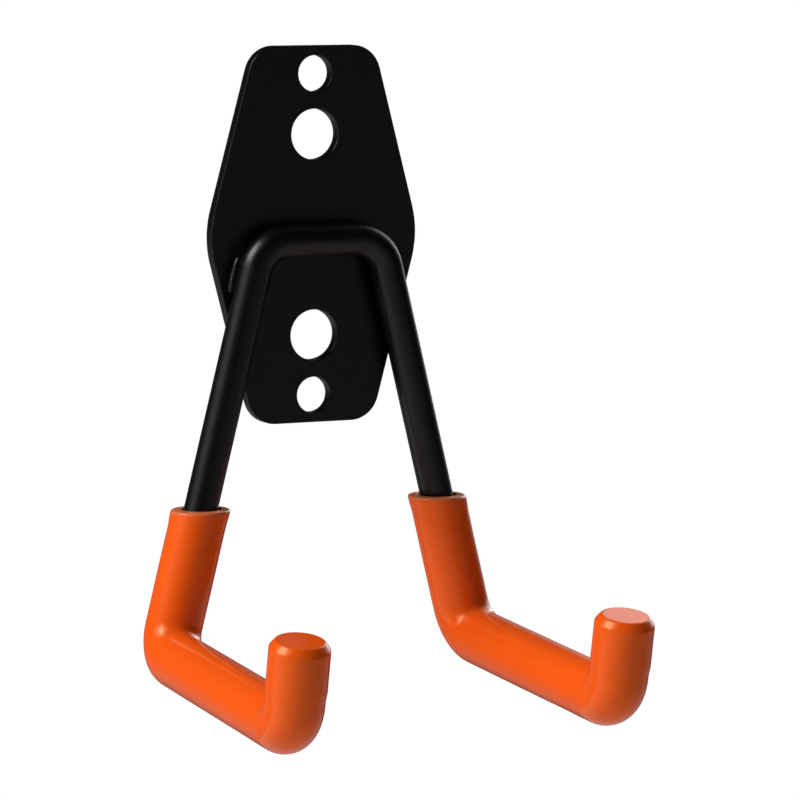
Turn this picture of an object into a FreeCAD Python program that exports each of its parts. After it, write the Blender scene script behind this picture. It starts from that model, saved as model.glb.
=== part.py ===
import FreeCAD, Part
import math
import os

os.makedirs("parts", exist_ok=True)

V = FreeCAD.Vector

# Sizes in millimetres, angles in degrees.
# X is to the viewer's right, Z is up, and the wall is the plane Y = 0 with the hook on its -Y side.
# Height zero is the middle of the plate.

# Backplate, a stamped steel blank shaped like a tall hexagon
plate_thickness = 3.0
plate_height = 90.5
plate_half_width = 27.75     # at mid height, before the side corners are rounded
flank_lean = 15.0            # slope of each long edge away from the vertical
end_corner_radius = 7.3
side_corner_radius = 25.0
stamped_edge_break = 0.3
small_hole_diameter = 8.7
small_hole_margin = 6.65     # from the plate's end to the small hole's centre
large_hole_diameter = 12.2
large_hole_step = 14.5       # from the small hole's centre to the large hole's

# Rod, one length of round steel bent into an arch with two hooks
rod_diameter = 8.0
weld_sink = 0.15             # how deep the weld presses the rod into the plate's surface
bar_height = -0.9            # height of the arch's level top bar
leg_offset_at_zero = 15.22   # from the middle to the leg's axis, at height zero
leg_splay = 14.0
leg_foot_height = -98.4      # where leg and prong would meet with a sharp bend
prong_length = 74.9
prong_droop = 3.4
prong_toe_out = 0.85
tip_lean = 10.5
tip_length = 21.2            # along the tip, to the end of its cover
arch_bend_radius = 8.6
hook_bend_radius = 7.2
rod_end_chamfer = 0.8

# Weld beads, one on the outer side of each leg
bead_radius = 1.4
bead_length = 6.5
bead_height = -9.5
bead_lift = 0.47             # from the plate's face to the bead's axis

# Sleeves, soft covers over the lower leg, the prong and the tip
sleeve_diameter = 13.6
tip_diameter = 14.1
sleeve_clearance = 0.05
mouth_height = -64.4         # level cut across the slanting leg
mouth_edge_radius = 1.2
cap_thickness = 3.0
cap_edge_radius = 1.7
tip_swell_start = 7.0        # from the prong's far corner, along the tip
tip_swell_length = 3.0       # length over which the cover grows to its tip diameter

rod_radius = rod_diameter / 2
rod_depth = -plate_thickness - rod_radius + weld_sink


def corner_points(side):
    """The sharp corners of the rod's axis on one side, from the arch to the tip's end."""
    splay = math.tan(math.radians(leg_splay))
    arch = V(side * (leg_offset_at_zero - splay * bar_height), rod_depth, bar_height)
    foot = V(side * (leg_offset_at_zero - splay * leg_foot_height), rod_depth, leg_foot_height)
    toe = math.tan(math.radians(prong_toe_out))
    droop = math.tan(math.radians(prong_droop))
    front = foot + V(side * toe, -1, -droop) * prong_length
    lean = math.radians(tip_lean)
    end = front + V(0, -math.sin(lean), math.cos(lean)) * tip_length
    return arch, foot, front, end


def rounded_path(points, radii):
    """A wire through the points with each inner corner turned by an arc of the given radius."""
    edges = []
    start = points[0]
    for before, corner, after, radius in zip(points, points[1:], points[2:], radii):
        back = (before - corner).normalize()
        ahead = (after - corner).normalize()
        half_angle = back.getAngle(ahead) / 2
        setback = radius / math.tan(half_angle)
        enter = corner + back * setback
        leave = corner + ahead * setback
        inward = (back + ahead).normalize()
        middle = corner + inward * (radius / math.sin(half_angle) - radius)
        edges.append(Part.makeLine(start, enter))
        edges.append(Part.Arc(enter, middle, leave).toShape())
        start = leave
    edges.append(Part.makeLine(start, points[-1]))
    return Part.Wire(edges)


def swept(path, radius):
    """A round bar that follows the path."""
    first = path.Edges[0]
    start = first.valueAt(first.FirstParameter)
    heading = first.tangentAt(first.FirstParameter)
    ring = Part.Wire(Part.makeCircle(radius, start, heading))
    return path.makePipeShell([ring], True, False)


def outline_corners():
    """The six sharp corners of the plate's outline, in order round it."""
    half_height = plate_height / 2
    end_half_width = plate_half_width - half_height * math.tan(math.radians(flank_lean))
    top = [V(-end_half_width, 0, half_height), V(end_half_width, 0, half_height)]
    bottom = [V(end_half_width, 0, -half_height), V(-end_half_width, 0, -half_height)]
    return top + [V(plate_half_width, 0, 0)] + bottom + [V(-plate_half_width, 0, 0)]


def rounded_outline(corners, radii):
    """A closed outline through the corners, each one rounded by its own radius."""
    count = len(corners)
    arcs = []
    for i in range(count):
        corner = corners[i]
        back = (corners[i - 1] - corner).normalize()
        ahead = (corners[(i + 1) % count] - corner).normalize()
        half_angle = back.getAngle(ahead) / 2
        setback = radii[i] / math.tan(half_angle)
        inward = (back + ahead).normalize()
        middle = corner + inward * (radii[i] / math.sin(half_angle) - radii[i])
        arcs.append((corner + back * setback, middle, corner + ahead * setback))
    edges = []
    for i in range(count):
        enter, middle, leave = arcs[i]
        edges.append(Part.Arc(enter, middle, leave).toShape())
        edges.append(Part.makeLine(leave, arcs[(i + 1) % count][0]))
    return Part.Wire(edges)


def make_backplate():
    """The flat plate with its four holes, edges just broken by the press."""
    radii = [end_corner_radius, end_corner_radius, side_corner_radius] * 2
    face = Part.Face(rounded_outline(outline_corners(), radii))
    plate = face.extrude(V(0, -plate_thickness, 0))
    small_hole_height = plate_height / 2 - small_hole_margin
    large_hole_height = small_hole_height - large_hole_step
    for diameter, height in (
        (small_hole_diameter, small_hole_height),
        (large_hole_diameter, large_hole_height),
    ):
        for level in (height, -height):
            hole = Part.makeCylinder(diameter / 2, plate_thickness, V(0, 0, level), V(0, -1, 0))
            plate = plate.cut(hole)
    front_edges = [e for e in plate.Edges if e.BoundBox.YMax < -plate_thickness / 2]
    return plate.makeFillet(stamped_edge_break, front_edges)


def make_rod(backplate):
    """The bent rod, flattened a little where it is welded down on the plate."""
    arch, foot, front, end = corner_points(1)
    reach = (end - front).normalize()
    end = end - reach * cap_thickness
    right = [arch, foot, front, end]
    left = [V(-p.x, p.y, p.z) for p in reversed(right)]
    bends = [hook_bend_radius, hook_bend_radius, arch_bend_radius]
    path = rounded_path(left + right, bends + bends[::-1])
    rod = swept(path, rod_radius)
    ends = [e for e in rod.Edges if is_end_ring(e)]
    rod = rod.makeChamfer(rod_end_chamfer, ends)
    return rod.cut(backplate)


def is_end_ring(edge):
    """True for the full circle where the rod is cut off."""
    return edge.BoundBox.YMax < -prong_length and edge.BoundBox.ZMin > corner_points(1)[2].z + rod_diameter


def make_bead(side, backplate, rod):
    """A short weld bead in the corner between one leg and the plate."""
    arch, foot, front, end = corner_points(side)
    along = (foot - arch).normalize()
    centre = arch + along * ((bead_height - arch.z) / along.z)
    outward = V(side, 0, 0)
    outward = (outward - along * outward.dot(along)).normalize()
    centre = centre + outward * (rod_radius * math.sqrt(3) / 2)
    centre.y = -plate_thickness - bead_lift
    start = centre - along * (bead_length / 2)
    bead = Part.makeCylinder(bead_radius, bead_length, start, along)
    for tip in (start, start + along * bead_length):
        bead = bead.fuse(Part.makeSphere(bead_radius, tip))
    return bead.cut(backplate).cut(rod).removeSplitter()


def make_sleeve(side):
    """One soft cover: an open tube that follows the rod and is closed at the tip."""
    arch, foot, front, end = corner_points(side)
    bends = [hook_bend_radius, hook_bend_radius]
    along_tip = (end - front).normalize()
    tube_end = front + along_tip * (tip_swell_start + tip_swell_length)
    cover = swept(rounded_path([arch, foot, front, tube_end], bends), sleeve_diameter / 2)
    cover = cover.cut(space_above(mouth_height))
    rim = [e for e in cover.Edges if e.BoundBox.ZMin > mouth_height - mouth_edge_radius / 2]
    cover = cover.makeFillet(mouth_edge_radius, rim)
    cover = cover.fuse(make_tip_end(front, along_tip)).removeSplitter()
    bore_end = end - along_tip * (cap_thickness - sleeve_clearance)
    bore = swept(rounded_path([arch, foot, front, bore_end], bends), rod_radius + sleeve_clearance)
    return cover.cut(bore)


def space_above(height):
    """A block that covers everything on the arch's side of a level."""
    size = plate_height * 2
    return Part.makeBox(size, size, size, V(-size / 2, -size / 2, height))


def make_tip_end(front, along_tip):
    """The thicker end of a cover, turned about the tip's axis and closed by a flat disc."""
    tube = sleeve_diameter / 2
    full = tip_diameter / 2
    straight = tip_length - cap_edge_radius
    corner = (full - cap_edge_radius * (1 - math.sqrt(0.5)), straight + cap_edge_radius * math.sqrt(0.5))
    swell_end = tip_swell_start + tip_swell_length
    edges = [
        Part.makeLine(V(0, 0, tip_swell_start), V(tube, 0, tip_swell_start)),
        Part.makeLine(V(tube, 0, tip_swell_start), V(full, 0, swell_end)),
        Part.makeLine(V(full, 0, swell_end), V(full, 0, straight)),
        Part.Arc(V(full, 0, straight), V(corner[0], 0, corner[1]),
                 V(full - cap_edge_radius, 0, tip_length)).toShape(),
        Part.makeLine(V(full - cap_edge_radius, 0, tip_length), V(0, 0, tip_length)),
        Part.makeLine(V(0, 0, tip_length), V(0, 0, tip_swell_start)),
    ]
    solid = Part.Face(Part.Wire(edges)).revolve(V(0, 0, 0), V(0, 0, 1), 360)
    turn = FreeCAD.Rotation(V(0, 0, 1), along_tip)
    solid.Placement = FreeCAD.Placement(front, turn)
    return solid


backplate = make_backplate()
rod = make_rod(backplate)
pieces = {
    "backplate": backplate,
    "hook_rod": rod,
    "weld_bead_left": make_bead(-1, backplate, rod),
    "weld_bead_right": make_bead(1, backplate, rod),
    "sleeve_left": make_sleeve(-1),
    "sleeve_right": make_sleeve(1),
}
for name, shape in pieces.items():
    shape.exportStep("parts/" + name + ".step")
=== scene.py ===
import bpy
import math
from mathutils import Matrix, Vector


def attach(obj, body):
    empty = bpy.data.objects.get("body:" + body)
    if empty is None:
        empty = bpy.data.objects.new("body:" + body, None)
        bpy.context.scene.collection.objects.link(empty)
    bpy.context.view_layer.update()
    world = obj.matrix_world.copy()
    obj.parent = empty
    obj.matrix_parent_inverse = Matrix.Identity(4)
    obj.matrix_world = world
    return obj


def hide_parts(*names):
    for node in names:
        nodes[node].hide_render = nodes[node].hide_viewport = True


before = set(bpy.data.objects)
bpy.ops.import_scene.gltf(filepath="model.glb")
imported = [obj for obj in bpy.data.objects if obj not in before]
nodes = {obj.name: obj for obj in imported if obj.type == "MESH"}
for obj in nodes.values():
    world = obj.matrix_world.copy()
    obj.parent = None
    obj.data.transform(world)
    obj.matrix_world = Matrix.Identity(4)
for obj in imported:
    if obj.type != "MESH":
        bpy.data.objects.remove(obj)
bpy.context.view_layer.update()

# Backplate: a flat blank stamped from 3 mm steel, with two screw holes at each end.
# It is coated in black powder together with the rod that is welded to it,
# so the coat runs over both and is a little rounded at the stamped edges.


class Term:
    """A node's output that takes part in arithmetic: each operator adds a Math node."""

    def __init__(self, graph, socket):
        self.graph = graph
        self.socket = socket

    def math(self, operation, first, second=0.0):
        return self.graph.node("ShaderNodeMath", {"operation": operation}, {0: first, 1: second})

    def __add__(self, other):
        return self.math("ADD", self, other)

    def __radd__(self, other):
        return self.math("ADD", other, self)

    def __sub__(self, other):
        return self.math("SUBTRACT", self, other)

    def __rsub__(self, other):
        return self.math("SUBTRACT", other, self)

    def __mul__(self, other):
        return self.math("MULTIPLY", self, other)

    def __rmul__(self, other):
        return self.math("MULTIPLY", other, self)

    def __truediv__(self, other):
        return self.math("DIVIDE", self, other)


class Graph:
    """A node tree, and the nodes that are used in it again and again."""

    def __init__(self, tree):
        self.tree = tree
        tree.nodes.clear()

    def node(self, kind, settings=None, inputs=None, output=0):
        """A new node with its settings and inputs, as the term for one of its outputs."""
        made = self.tree.nodes.new(kind)
        for name, value in (settings or {}).items():
            setattr(made, name, value)
        for key, value in (inputs or {}).items():
            if isinstance(value, Term):
                self.tree.links.new(value.socket, made.inputs[key])
            else:
                made.inputs[key].default_value = value
        return Term(self, made.outputs[output]) if len(made.outputs) else made

    def mixed(self, factor, first, second):
        """A colour between two others."""
        sent = {0: factor, 6: first, 7: second}
        return self.node("ShaderNodeMix", {"data_type": "RGBA"}, sent, 2)

    def stepped(self, value, low, high):
        """Zero below low, one above high, and smooth between."""
        return self.node(
            "ShaderNodeMapRange",
            {"interpolation_type": "SMOOTHSTEP"},
            {"Value": value, "From Min": low, "From Max": high},
        )

    def noise(self, place, scale, detail):
        """Soft clouds from zero to one, smaller with a larger scale."""
        sent = {"Vector": place, "Scale": scale, "Detail": detail}
        return self.node("ShaderNodeTexNoise", {}, sent)

    def parts(self, vector, axes="XYZ"):
        """The numbers of a vector along the named axes."""
        return [self.node("ShaderNodeSeparateXYZ", {}, {0: vector}, axis) for axis in axes]


def finish(name):
    """A new empty material and the graph that fills it."""
    material = bpy.data.materials.new(name)
    material.use_nodes = True
    return material, Graph(material.node_tree)


def coat_node(name, material):
    """Gives a solid of the frame its finish."""
    nodes[name].data.materials.clear()
    nodes[name].data.materials.append(material)


powder_coat, g = finish("black_powder_coat")
place = g.node("ShaderNodeTexCoord", output="Object")
clouds = g.noise(place, scale=70.0, detail=3.0)
orange_peel = g.noise(place, scale=620.0, detail=1.0)
grains = g.noise(place, scale=2600.0, detail=2.0)
from_speck = g.node("ShaderNodeTexVoronoi", {}, {"Vector": place, "Scale": 900.0})
specks = g.stepped(from_speck, low=0.12, high=0.05)
coat_black = (0.0014, 0.0015, 0.0016, 1.0)
coat_cloudy = (0.0026, 0.0027, 0.0029, 1.0)
coat_speck = (0.009, 0.009, 0.010, 1.0)
coat_color = g.mixed(clouds, coat_black, coat_cloudy)
coat_color = g.mixed(specks * 0.35, coat_color, coat_speck)
coat_relief = g.node(
    "ShaderNodeBump",
    inputs={"Strength": 0.10, "Distance": 0.0002, "Height": orange_peel + 0.25 * grains},
)
coat_surface = g.node(
    "ShaderNodeBsdfPrincipled",
    inputs={
        "Base Color": coat_color,
        "Roughness": 0.25 + 0.10 * clouds + 0.08 * specks,
        "Normal": coat_relief,
        "IOR": 1.38,
    },
)
g.node("ShaderNodeOutputMaterial", inputs={"Surface": coat_surface})

coat_node("backplate", powder_coat)

# Rod: one length of 8 mm round steel bar, bent cold into an arch with a hook on each end.
# The level top of the arch lies on the plate and is welded down there,
# and the black powder coat covers it from end to end.

coat_node("hook_rod", powder_coat)

# Weld beads: two short fillets laid beside the legs, where the rod lies on the plate.
# Each is one pass of overlapping puddles, left as welded and coated over.

MM = 0.001
rod_radius = 4.0 * MM
plate_face = -3.0 * MM
rod_seat = 0.15 * MM
rod_depth = plate_face - rod_radius + rod_seat
leg_slope = math.tan(math.radians(14.0))
leg_offset_at_zero = 15.22 * MM


def leg_axis(side, height):
    """The point on one leg's axis at a height."""
    return Vector((side * (leg_offset_at_zero - leg_slope * height), rod_depth, height))


def make_bent_tube_tree():
    """A turned section carried along a path of four corners, with its first end cut level."""
    points_per_bend = 24
    bridge_width = 0.6
    wall_gap = 0.02 * MM
    merge_distance = 0.002 * MM
    tree = bpy.data.node_groups.new("bent_tube", "GeometryNodeTree")
    face = tree.interface
    face.new_socket("Section", in_out="INPUT", socket_type="NodeSocketGeometry")
    for name, kind in (
        ("Start", "NodeSocketVector"),
        ("Foot", "NodeSocketVector"),
        ("Front", "NodeSocketVector"),
        ("End", "NodeSocketVector"),
        ("Bend Radius", "NodeSocketFloat"),
        ("Inner Bend Radius", "NodeSocketFloat"),
        ("First Bend", "NodeSocketVector"),
        ("Second Bend", "NodeSocketVector"),
        ("First Inward", "NodeSocketVector"),
        ("Second Inward", "NodeSocketVector"),
        ("Points Round", "NodeSocketInt"),
        ("Level Length", "NodeSocketFloat"),
        ("Skin Radius", "NodeSocketFloat"),
        ("Waviness", "NodeSocketFloat"),
        ("Wave Scale", "NodeSocketFloat"),
        ("Finish", "NodeSocketMaterial"),
    ):
        face.new_socket(name, in_out="INPUT", socket_type=kind)
    face.new_socket("Tube", in_out="OUTPUT", socket_type="NodeSocketGeometry")
    g = Graph(tree)
    entry = g.tree.nodes.new("NodeGroupInput")

    def given(name):
        return Term(g, entry.outputs[name])

    def vector_math(operation, first, second=None, scale=None, output=0):
        sent = {0: first}
        if second is not None:
            sent[1] = second
        if scale is not None:
            sent[3] = scale
        return g.node("ShaderNodeVectorMath", {"operation": operation}, sent, output)

    # The path: four corners, the inner two rounded.
    index = g.node("GeometryNodeInputIndex")
    corners = g.node("GeometryNodeMeshLine", {"mode": "OFFSET"}, {"Count": 4})
    chosen = given("Start")
    for number, name in ((1, "Foot"), (2, "Front"), (3, "End")):
        same_number = {"data_type": "INT", "operation": "EQUAL"}
        here = g.node("FunctionNodeCompare", same_number, {2: index, 3: number})
        sent = {0: here, 1: chosen, 2: given(name)}
        chosen = g.node("GeometryNodeSwitch", {"input_type": "VECTOR"}, sent)
    corners = g.node("GeometryNodeSetPosition", {}, {"Geometry": corners, "Position": chosen})
    sharp = g.node("GeometryNodeMeshToCurve", {}, {"Mesh": corners})

    def filleted(radius):
        """The path with its two inner corners rounded."""
        sent = {"Curve": sharp, "Count": points_per_bend, "Radius": radius}
        return g.node("GeometryNodeFilletCurve", {"mode": "POLY"}, sent)

    def riding(path, length):
        """The point, heading and side direction at a length along a path."""
        ride = g.tree.nodes.new("GeometryNodeSampleCurve")
        ride.mode = "LENGTH"
        ride.data_type = "FLOAT_VECTOR"
        ride.use_all_curves = True
        g.tree.links.new(path.socket, ride.inputs["Curves"])
        g.tree.links.new(length.socket, ride.inputs["Length"])
        tangent = vector_math("NORMALIZE", Term(g, ride.outputs["Tangent"]))
        normal = vector_math("NORMALIZE", Term(g, ride.outputs["Normal"]))
        return Term(g, ride.outputs["Position"]), tangent, normal

    def across(vector, tangent):
        """What is left of a vector when its share along the path is taken out."""
        share = vector_math("DOT_PRODUCT", vector, tangent, output=1)
        return vector_math("SUBTRACT", vector, vector_math("SCALE", tangent, scale=share))

    # The sheet of points: one row for each point of the section, carried round the path.
    section = given("Section")
    rows = g.node("GeometryNodeAttributeDomainSize", {"component": "MESH"}, {"Geometry": section})
    columns = given("Points Round") + 1.0
    sheet = g.node("GeometryNodeMeshGrid", {}, {"Vertices X": rows, "Vertices Y": columns})
    row = g.node("ShaderNodeMath", {"operation": "FLOOR"}, {0: (index + 0.5) / columns})
    turn = (index - row * columns) / given("Points Round") * math.tau
    drawn = g.node("GeometryNodeInputPosition")
    point = g.node(
        "GeometryNodeSampleIndex",
        {"data_type": "FLOAT_VECTOR", "domain": "POINT", "clamp": True},
        {"Geometry": section, "Value": drawn, "Index": row},
    )
    radius, along = g.parts(point, "XZ")
    centre, tangent, normal = riding(filleted(given("Bend Radius")), along)
    binormal = vector_math("CROSS_PRODUCT", tangent, normal)
    outward = vector_math(
        "ADD",
        vector_math("SCALE", normal, scale=turn.math("COSINE", turn)),
        vector_math("SCALE", binormal, scale=turn.math("SINE", turn)),
    )
    spot = vector_math("ADD", centre, vector_math("SCALE", outward, scale=radius))

    # The inner side of each bend follows a wider bend, because the soft skin bridges the corner.
    first_middle, first_half, first_saving = g.parts(given("First Bend"))
    second_middle, second_half, second_saving = g.parts(given("Second Bend"))
    first_start, first_end = first_middle - first_half, first_middle + first_half
    second_start, second_end = second_middle - second_half, second_middle + second_half

    def passed(start, end):
        """The share of a stretch of the path that lies behind."""
        return g.node("ShaderNodeMapRange", {}, {0: along, 1: start, 2: end, 3: 0.0, 4: 1.0})

    inner_along = along - passed(first_start, first_end) * first_saving
    inner_along = inner_along - passed(second_start, second_end) * second_saving
    inner_path = filleted(given("Inner Bend Radius"))
    inner_centre, inner_tangent = riding(inner_path, inner_along)[:2]
    inner_outward = vector_math("NORMALIZE", across(outward, inner_tangent))
    inner_spot = vector_math("ADD", inner_centre, vector_math("SCALE", inner_outward, scale=radius))
    change = passed(first_end, second_start)
    inward = vector_math("SCALE", given("First Inward"), scale=1.0 - change)
    inward = vector_math("ADD", inward, vector_math("SCALE", given("Second Inward"), scale=change))
    facing_inward = vector_math("DOT_PRODUCT", outward, inward, output=1)
    bridged = g.stepped(facing_inward, low=0.0, high=bridge_width)
    moved = vector_math("SCALE", vector_math("SUBTRACT", inner_spot, spot), scale=bridged)
    spot = vector_math("ADD", spot, moved)

    # The mouth is cut level: each point there slides along the leg to its own height.
    rise = vector_math("DOT_PRODUCT", outward, (0.0, 0.0, 1.0), output=1) * radius
    climb = vector_math("DOT_PRODUCT", tangent, (0.0, 0.0, 1.0), output=1)
    hold = g.node(
        "ShaderNodeMapRange",
        {"interpolation_type": "SMOOTHSTEP"},
        {0: along, 1: 0.0, 2: given("Level Length"), 3: 1.0, 4: 0.0},
    )
    slide = hold * (0.0 - rise) / climb
    spot = vector_math("ADD", spot, vector_math("SCALE", tangent, scale=slide))

    # The outer skin is never quite even, and the wall behind holds it flat.
    swell = g.noise(spot, scale=given("Wave Scale"), detail=1.0)
    larger = {"operation": "GREATER_THAN"}
    on_skin = g.node("FunctionNodeCompare", larger, {0: radius, 1: given("Skin Radius")})
    lift = (swell - 0.5) * given("Waviness") * on_skin
    spot = vector_math("ADD", spot, vector_math("SCALE", outward, scale=lift))
    spot = vector_math("MINIMUM", spot, (1.0, -wall_gap, 1.0))

    sheet = g.node("GeometryNodeSetPosition", {}, {"Geometry": sheet, "Position": spot})
    sent = {"Geometry": sheet, "Distance": merge_distance}
    sheet = g.node("GeometryNodeMergeByDistance", {}, sent)
    sheet = g.node("GeometryNodeFlipFaces", {}, {"Mesh": sheet})
    sheet = g.node("GeometryNodeSetShadeSmooth", {}, {"Geometry": sheet})
    sheet = g.node("GeometryNodeRealizeInstances", {}, {"Geometry": sheet})
    sheet = g.node("GeometryNodeSetMaterial", {}, {"Geometry": sheet, "Material": given("Finish")})
    g.node("NodeGroupOutput", {}, {0: sheet})
    return tree


bent_tube_tree = make_bent_tube_tree()


def bend_tube(name, section, values):
    """A plain mesh of a section, which lists (radius, distance along the path), bent along it."""
    points = [(radius, 0.0, along) for radius, along in section]
    edges = [(i, i + 1) for i in range(len(section) - 1)]
    line = bpy.data.meshes.new(name)
    line.from_pydata(points, edges, [])
    draft = bpy.data.objects.new(name + "_draft", line)
    bpy.context.scene.collection.objects.link(draft)
    modifier = draft.modifiers.new("bent_tube", "NODES")
    modifier.node_group = bent_tube_tree
    for item in bent_tube_tree.interface.items_tree:
        if item.in_out == "INPUT" and item.name in values:
            modifier[item.identifier] = values[item.name]
    graph = bpy.context.evaluated_depsgraph_get()
    mesh = bpy.data.meshes.new_from_object(draft.evaluated_get(graph), depsgraph=graph)
    bpy.data.objects.remove(draft)
    mesh.name = name
    piece = bpy.data.objects.new(name, mesh)
    bpy.context.scene.collection.objects.link(piece)
    return piece


bead_radius = 1.4 * MM
bead_length = 6.5 * MM
bead_middle = -9.5 * MM
puddle_pitch = 1.1 * MM
puddle_rise = 0.03
bead_valley = 0.88
bead_lift = 0.47 * MM


def bead_section():
    """A bar that thins towards both ends and steps a little for each puddle."""
    whole = bead_length + 2 * bead_radius
    steps = 96
    section = []
    for i in range(steps + 1):
        share = i / steps
        crown = (1.0 - (2.0 * share - 1.0) ** 4) ** 0.5
        step = math.sin(math.pi * (whole * share / puddle_pitch % 1.0))
        section.append((bead_radius * crown * (bead_valley + puddle_rise * step), whole * share))
    return section


for side, name, node in ((-1, "left_weld", "weld_bead_left"), (1, "right_weld", "weld_bead_right")):
    along_leg = (leg_axis(side, -0.1) - leg_axis(side, 0.0)).normalized()
    sideways = Vector((side, 0.0, 0.0))
    sideways = (sideways - along_leg * sideways.dot(along_leg)).normalized()
    beside_rod = rod_radius * math.sqrt(3) / 2
    middle = leg_axis(side, bead_middle) + sideways * beside_rod
    middle.y = plate_face - bead_lift
    reach = along_leg * (bead_length / 2 + bead_radius)
    weld = bend_tube(
        name,
        bead_section(),
        {
            "Start": middle - reach,
            "Foot": middle - reach / 3,
            "Front": middle + reach / 3,
            "End": middle + reach,
            "Bend Radius": 0.0,
            "Inner Bend Radius": 0.0,
            "First Bend": Vector(),
            "Second Bend": Vector(),
            "First Inward": Vector(),
            "Second Inward": Vector(),
            "Points Round": 32,
            "Level Length": 0.0,
            "Skin Radius": 0.0,
            "Waviness": 0.25 * MM,
            "Wave Scale": 500.0,
            "Finish": powder_coat,
        },
    )
    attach(weld, "root")
    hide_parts(node)

# Sleeves: soft orange vinyl covers, dipped on a former and then pushed over each hook while warm.
# Each has a level mouth with a rounded lip, follows the rod round both bends,
# and ends in a slightly thicker closed tip with a flat disc.

mouth_height = -63.95 * MM
leg_foot_height = -98.4 * MM
prong_length = 74.9 * MM
prong_slope = math.tan(math.radians(3.4))
prong_toe_out = math.tan(math.radians(0.85))
tip_lean = math.radians(10.5)
tip_length = 21.2 * MM
bend_radius = 7.2 * MM
inner_bend_radius = 9.0 * MM
sleeve_radius = 6.77 * MM
tip_radius = 7.02 * MM
bore_radius = 4.05 * MM
bore_flare = 0.65 * MM
bore_flare_length = 3.0 * MM
cap_thickness = 2.95 * MM
cap_facet = 1.75 * MM
facet_slope = math.tan(math.radians(52.0))
facet_blend = 0.42 * MM
lip_edge = 0.6 * MM
lip_slope = math.radians(4.0)
inner_lip_reach = 0.2 * MM
lip_flare = 0.2 * MM
flare_length = 5.0 * MM
swell_start = 7.0 * MM
swell_length = 3.0 * MM
row_pitch = 0.6 * MM
corner_steps = 6
lip_steps = 10
disc_steps = 6


def sleeve_corners(side):
    """The corners of one axis: mouth, foot of the leg, front of the prong, end of the tip."""
    foot = leg_axis(side, leg_foot_height)
    front = foot + Vector((side * prong_toe_out, -1.0, -prong_slope)) * prong_length
    end = front + Vector((0.0, -math.sin(tip_lean), math.cos(tip_lean))) * tip_length
    return leg_axis(side, mouth_height), foot, front, end


def path_length(corners):
    """The length of the rounded path, and the length to the corner where its last run starts."""
    length = sum((b - a).length for a, b in zip(corners, corners[1:]))
    last_run = (corners[-1] - corners[-2]).length
    for a, b, c in zip(corners, corners[1:], corners[2:]):
        turn = (b - a).angle(c - b)
        length -= bend_radius * (2 * math.tan(turn / 2) - turn)
    return length, length - last_run


def bends_along(corners):
    """Of each bend: the length to its middle, half its own, and what the wider bend saves."""
    bends = []
    start = 0.0
    for a, b, c in zip(corners, corners[1:], corners[2:]):
        turn = (b - a).angle(c - b)
        arc = bend_radius * turn
        setback = bend_radius * math.tan(turn / 2)
        middle = start + (b - a).length - setback + arc / 2
        saving = (inner_bend_radius - bend_radius) * (2 * math.tan(turn / 2) - turn)
        bends.append(Vector((middle, arc / 2, saving)))
        start = middle + arc / 2 - setback
    return bends


def eased(value, low, high):
    """Zero below low, one above high, and smooth between."""
    share = min(1.0, max(0.0, (value - low) / (high - low)))
    return share * share * (3 - 2 * share)


def soft_corner(before, corner, after, reach):
    """Points round a corner of a section. The turn starts and ends at a reach from the corner."""
    before, corner, after = Vector(before), Vector(corner), Vector(after)
    enter = corner + (before - corner).normalized() * reach
    leave = corner + (after - corner).normalized() * reach
    points = []
    for i in range(corner_steps + 1):
        share = i / corner_steps
        point = enter.lerp(corner, share).lerp(corner.lerp(leave, share), share)
        points.append((point.x, point.y))
    return points


def sleeve_section(corners):
    """The cover cut lengthwise: up the bore, over the lip, down the skin and across the disc."""
    whole, tip_corner = path_length(corners)
    bore_end = whole - cap_thickness
    section = [(0.0, bore_end)]
    count = round(bore_end / row_pitch)
    for i in range(count):
        along = bore_end * (1 - i / count)
        flare = bore_flare * (1 - eased(along, 0.0, bore_flare_length))
        section.append((bore_radius + flare, along))
    mouth_radius = bore_radius + bore_flare
    crown = sleeve_radius + lip_flare - lip_edge
    brow = crown + lip_edge * math.sin(lip_slope)
    brow_drop = (brow - mouth_radius) * math.tan(lip_slope)
    lip_end = brow_drop + lip_edge * math.cos(lip_slope)
    mouth_edge = (mouth_radius, 0.0)
    section += soft_corner((mouth_radius, lip_end), mouth_edge, (brow, brow_drop), inner_lip_reach)
    for i in range(lip_steps + 1):
        angle = lip_slope + (math.pi / 2 - lip_slope) * i / lip_steps
        section.append((crown + lip_edge * math.sin(angle), lip_end - lip_edge * math.cos(angle)))
    skin_end = whole - cap_facet
    count = round((skin_end - lip_end) / row_pitch)
    for i in range(1, count):
        along = lip_end + (skin_end - lip_end) * i / count
        radius = sleeve_radius + lip_flare * (1 - eased(along, lip_end, flare_length))
        swell = eased(along, tip_corner + swell_start, tip_corner + swell_start + swell_length)
        section.append((radius + (tip_radius - sleeve_radius) * swell, along))
    disc_radius = tip_radius - cap_facet / facet_slope
    facet_start, facet_end = (tip_radius, skin_end), (disc_radius, whole)
    section += soft_corner((tip_radius, 0.0), facet_start, facet_end, facet_blend)
    section += soft_corner(facet_start, facet_end, (0.0, whole), facet_blend)
    for i in range(1, disc_steps + 1):
        section.append(((disc_radius - facet_blend) * (1 - i / disc_steps), whole))
    return section


vinyl, g = finish("orange_vinyl")
place = g.node("ShaderNodeTexCoord", output="Object")
clouds = g.noise(place, scale=55.0, detail=3.0)
flow = g.noise(place, scale=260.0, detail=2.0)
pores = g.noise(place, scale=1900.0, detail=2.0)
vinyl_orange = (0.91, 0.102, 0.006, 1.0)
vinyl_cloudy = (0.95, 0.118, 0.009, 1.0)
vinyl_deep = (0.86, 0.090, 0.005, 1.0)
vinyl_color = g.mixed(clouds, vinyl_orange, vinyl_cloudy)
vinyl_color = g.mixed(0.25 * flow, vinyl_color, vinyl_deep)

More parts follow.
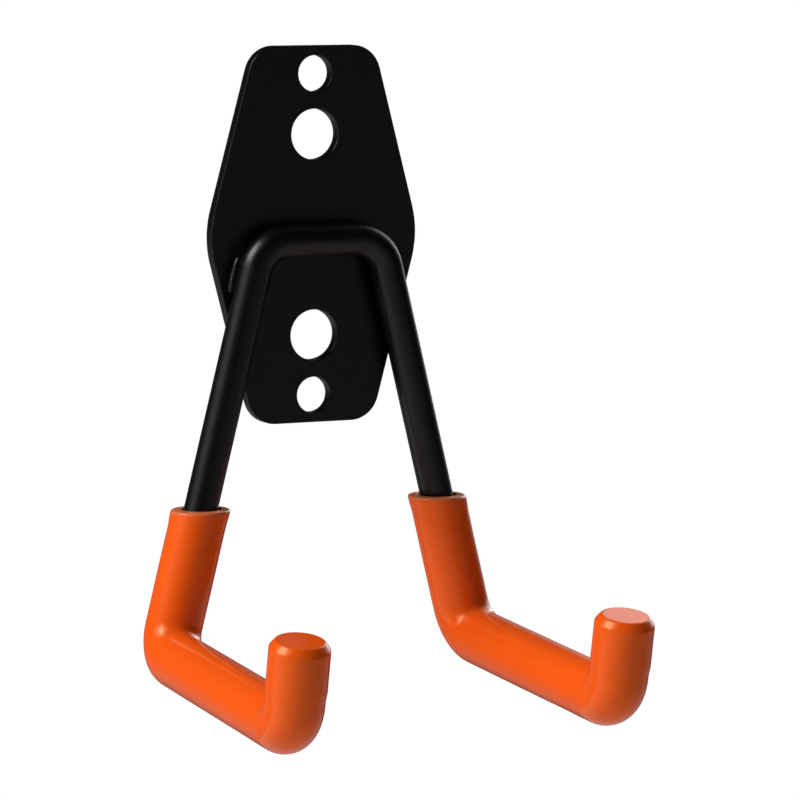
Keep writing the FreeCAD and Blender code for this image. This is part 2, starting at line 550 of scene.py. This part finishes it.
# The top band of the lip is painted paler and pinker, a painted sheen for the pale reflection along
# the lip, and the same band is made rougher.
lip_band_depth = 1.1 * MM
lip_band_edge = 0.35 * MM
# A pale pink that is painted sheen, not the vinyl's own colour.
lip_sheen_paint = (0.66, 0.19, 0.085, 1.0)
(height,) = g.parts(place, "Z")
lip_band = g.stepped(height, mouth_height - lip_band_depth, mouth_height - lip_band_edge)
vinyl_color = g.mixed(lip_band * (0.7 + 0.2 * flow), vinyl_color, lip_sheen_paint)
vinyl_relief = g.node(
    "ShaderNodeBump",
    inputs={"Strength": 0.10, "Distance": 0.0002, "Height": flow + 0.12 * pores},
)
vinyl_surface = g.node(
    "ShaderNodeBsdfPrincipled",
    inputs={
        "Base Color": vinyl_color,
        "Roughness": 0.12 + 0.05 * clouds + 0.10 * lip_band,
        "Normal": vinyl_relief,
        "IOR": 1.43,
        "Specular IOR Level": 0.42,
        "Specular Tint": (1.0, 0.85, 0.45, 1.0),
    },
)
g.node("ShaderNodeOutputMaterial", inputs={"Surface": vinyl_surface})

for side, name, node in ((-1, "left_cover", "sleeve_left"), (1, "right_cover", "sleeve_right")):
    corners = sleeve_corners(side)
    mouth, foot, front, end = corners
    first_bend, second_bend = bends_along(corners)
    first_inward = ((mouth - foot).normalized() + (front - foot).normalized()).normalized()
    second_inward = ((foot - front).normalized() + (end - front).normalized()).normalized()
    cover = bend_tube(
        name,
        sleeve_section(corners),
        {
            "Start": mouth,
            "Foot": foot,
            "Front": front,
            "End": end,
            "Bend Radius": bend_radius,
            "Inner Bend Radius": inner_bend_radius,
            "First Bend": first_bend,
            "Second Bend": second_bend,
            "First Inward": first_inward,
            "Second Inward": second_inward,
            "Points Round": 72,
            "Level Length": 12.0 * MM,
            "Skin Radius": 5.0 * MM,
            "Waviness": 0.12 * MM,
            "Wave Scale": 90.0,
            "Finish": vinyl,
        },
    )
    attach(cover, "root")
    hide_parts(node)

# Floor, light and view: a plain pale floor in a plain studio, seen from the left of the front.
# A softbox hangs high on the left in front of a wide diffuser, a pale wall stands low on the left,
# pale boards stand behind on the right, and the rest of the room is dark.

floor_level = -0.6
floor_mesh = bpy.data.meshes.new("floor")
floor_left, floor_right, floor_front, floor_back = -6.0, 6.0, -6.0, 0.8
floor_mesh.from_pydata(
    [
        (floor_left, floor_front, floor_level),
        (floor_right, floor_front, floor_level),
        (floor_right, floor_back, floor_level),
        (floor_left, floor_back, floor_level),
    ],
    [],
    [(0, 1, 2, 3)],
)
floor = bpy.data.objects.new("floor", floor_mesh)
bpy.context.scene.collection.objects.link(floor)
floor_paint, g = finish("floor_paint")
place = g.node("ShaderNodeTexCoord", output="Object")
distance = g.node("ShaderNodeVectorMath", {"operation": "LENGTH"}, {0: place}, 1)
far = g.stepped(distance, low=1.2, high=3.0)
matt = g.node("ShaderNodeBsdfDiffuse", inputs={"Color": (0.8, 0.8, 0.8, 1.0)})
glow = g.node("ShaderNodeEmission", inputs={"Color": (1.0, 1.0, 1.0, 1.0), "Strength": 1.05})
seen = g.node("ShaderNodeLightPath", output="Is Camera Ray")

# The camera sees a white glow, and near the hook a tenth of lit paint, which keeps the shadow.
near_glow = 0.9
glow_share = seen * (near_glow + (1.0 - near_glow) * far)
floor_surface = g.node("ShaderNodeMixShader", inputs={0: glow_share, 1: matt, 2: glow})
g.node("ShaderNodeOutputMaterial", inputs={"Surface": floor_surface})
floor_mesh.materials.append(floor_paint)

world = bpy.data.worlds.new("studio")
bpy.context.scene.world = world
world.use_nodes = True
g = Graph(world.node_tree)
heading = g.node("ShaderNodeTexCoord", output="Generated")


def facing(direction):
    """How nearly a ray's heading agrees with a direction, from minus one to one."""
    unit = Vector(direction).normalized()
    return g.node("ShaderNodeVectorMath", {"operation": "DOT_PRODUCT"}, {0: heading, 1: unit}, 1)


def wall_glow(direction, narrowness, brightness):
    """A pale wall or board in the room: brightest in one direction and fading round it."""
    near = (facing(direction) - 1.0) * narrowness
    return near.math("EXPONENT", near) * brightness


panel_direction = (0.49, 0.73, 0.48)
glows = (
    ((-0.95, 0.00, -0.25), 12.0, 2.7),  # the pale wall low on the left
    ((-0.80, -0.55, -0.10), 14.0, 0.12),  # its end towards the camera
    ((-0.15, 0.89, -0.43), 14.0, 0.28),  # the floor behind
    ((0.20, -0.98, 0.00), 10.0, 0.14),  # the wall behind the camera
    ((0.20, 0.30, 0.93), 12.0, 0.12),  # the ceiling
    ((0.75, 0.35, 0.55), 24.0, 2.2),  # the upper board behind on the right
    ((0.84, 0.46, 0.29), 40.0, 1.8),  # the middle board
    ((0.72, 0.68, 0.20), 60.0, 4.0),  # the lower board
    (panel_direction, 500.0, 2.2),  # a small panel that the right tip's disc mirrors
)
darkest_corner = 0.004
room = 0.0
for direction, narrowness, brightness in glows:
    room = room + wall_glow(direction, narrowness, brightness)
room = room + darkest_corner
backdrop = g.stepped(facing(panel_direction), low=0.995, high=0.998)
path = g.tree.nodes.new("ShaderNodeLightPath")
mirrored = Term(g, path.outputs["Is Glossy Ray"]) + Term(g, path.outputs["Is Transmission Ray"])
seen = Term(g, path.outputs["Is Camera Ray"]) + mirrored * backdrop
level = room.math("MAXIMUM", room, seen)
white = g.node("ShaderNodeBackground", inputs={"Color": (1.0, 1.0, 1.0, 1.0), "Strength": level})
g.node("ShaderNodeOutputWorld", inputs={"Surface": white})


def softbox(name, direction, distance, size, radiance):
    """A rectangular soft lamp that faces the middle of the hook."""
    hook_middle = Vector((0.0, -0.045, -0.055))
    lamp = bpy.data.lights.new(name, "AREA")
    lamp.shape = "RECTANGLE"
    lamp.size, lamp.size_y = size
    lamp.energy = radiance * math.pi * size[0] * size[1]
    holder = bpy.data.objects.new(name, lamp)
    away = Vector(direction).normalized()
    holder.location = hook_middle + away * distance
    holder.rotation_euler = (-away).to_track_quat("-Z", "Y").to_euler()
    bpy.context.scene.collection.objects.link(holder)


key_direction = (-0.75, 0.10, 0.66)
softbox("key_softbox", key_direction, distance=3.0, size=(1.4, 1.15), radiance=9.0)
softbox("key_diffuser", key_direction, distance=3.1, size=(3.0, 2.4), radiance=2.4)

# The camera stands to the left of the front and looks a little down. Its place, heading and
# focal length, in the photo's pixels, come from the fit to the photo's edges.
picture_zoom = 1.9
photo_width = 800
photo_focal_length = 2330.54
sensor_width = 36.0
camera_data = bpy.data.cameras.new("camera")
camera_data.sensor_width = sensor_width
camera_data.lens = photo_focal_length / photo_width * sensor_width * picture_zoom
camera_data.clip_end = 40.0
camera = bpy.data.objects.new("camera", camera_data)
camera.location = (-0.44079, -0.96426, 0.09202)
right = Vector((0.9010022, -0.4337585, 0.0069672))
upward = Vector((0.0474038, 0.1144060, 0.9923024))
backward = Vector((-0.4312167, -0.8937364, 0.1236419))
camera.rotation_mode = "QUATERNION"
camera.rotation_quaternion = Matrix((right, upward, backward)).transposed().to_quaternion()
bpy.context.scene.collection.objects.link(camera)
bpy.context.scene.camera = camera

bpy.context.scene.view_settings.view_transform = "Standard"
